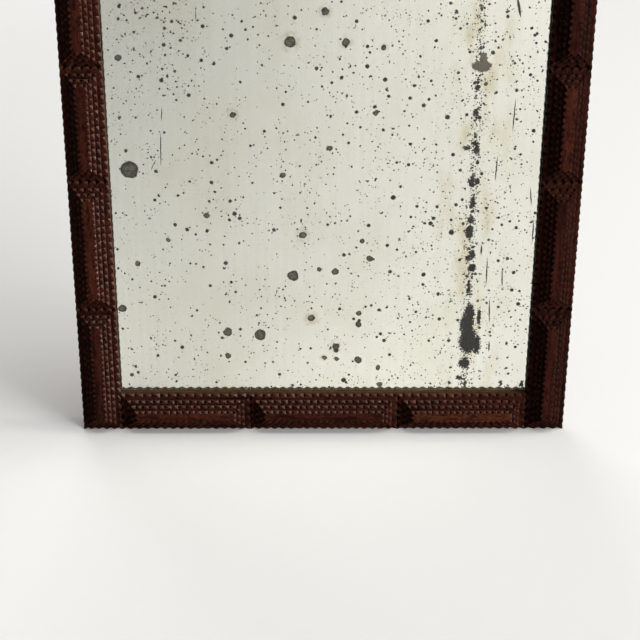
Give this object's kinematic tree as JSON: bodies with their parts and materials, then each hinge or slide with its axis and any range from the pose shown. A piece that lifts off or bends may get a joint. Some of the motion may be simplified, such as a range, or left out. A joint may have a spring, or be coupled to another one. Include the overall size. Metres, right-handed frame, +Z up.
{
  "type": "tramp art mirror frame",
  "caption": "Upright wall mirror in a tramp art frame: notched thin-wood layers stacked in hipped blocks round a foxed mirror plate, with nailed back boards and swinging ring hangers.",
  "frame": {"origin": "on the wall plane, at the rear of the back boards, midway between the pivots of the two hanging rings", "axes": "+X to the viewer's right, +Y into the wall, so the mirror faces -Y, +Z up"},
  "size_m": [0.458, 0.0375, 0.707],
  "materials": {
    "strip_wood": "dark shellac, worn on the notched edges",
    "block_wood": "dark reddish-brown shellac over notched cigar-box wood",
    "pine_frame": "bare aged softwood",
    "back_boards": "bare sawn softwood, darkened",
    "mirror": "foxed old silvering",
    "brass": "dull aged brass",
    "iron": "dark iron wire nails"
  },
  "bodies": {
    "frame": {"left_stile": "pine_frame", "right_stile": "pine_frame", "bottom_rail": "pine_frame", "top_rail": "pine_frame", "glue_blocks": "pine_frame", "left_strip_1": "strip_wood", "left_strip_2": "strip_wood", "left_strip_3": "strip_wood", "left_strip_4": "strip_wood", "left_strip_5": "strip_wood", "left_strip_6": "strip_wood", "right_strip_1": "strip_wood", "right_strip_2": "strip_wood", "right_strip_3": "strip_wood", "right_strip_4": "strip_wood", "right_strip_5": "strip_wood", "right_strip_6": "strip_wood", "bottom_strip_1": "strip_wood", "bottom_strip_2": "strip_wood", "bottom_strip_3": "strip_wood", "top_strip_1": "strip_wood", "top_strip_2": "strip_wood", "top_strip_3": "strip_wood", "left_block_1": "block_wood", "left_block_2": "block_wood", "left_block_3": "block_wood", "left_block_4": "block_wood", "left_block_5": "block_wood", "left_block_6": "block_wood", "right_block_1": "block_wood", "right_block_2": "block_wood", "right_block_3": "block_wood", "right_block_4": "block_wood", "right_block_5": "block_wood", "right_block_6": "block_wood", "bottom_block_1": "block_wood", "bottom_block_2": "block_wood", "bottom_block_3": "block_wood", "top_block_1": "block_wood", "top_block_2": "block_wood", "top_block_3": "block_wood", "lower_back_board": "back_boards", "middle_back_board": "back_boards", "upper_back_board": "back_boards", "corner_nails": "iron", "block_brads": "iron", "back_board_nails": "iron", "mirror_plate": "mirror", "left_hanger_strap": "brass", "right_hanger_strap": "brass", "hanger_screws": "brass"},
    "left_ring": {"left_hanger_ring": "brass"},
    "right_ring": {"right_hanger_ring": "brass"}
  },
  "joints": [
    {"name": "left_ring_swing", "type": "hinge", "parent": "frame", "child": "left_ring", "pos_m": [-0.2152, -0.0034, 0], "axis": [1, 0, 0], "range_deg": [0, 184]},
    {"name": "right_ring_swing", "type": "hinge", "parent": "frame", "child": "right_ring", "pos_m": [0.2152, -0.0034, 0], "axis": [1, 0, 0], "range_deg": [0, 184]}
  ]
}
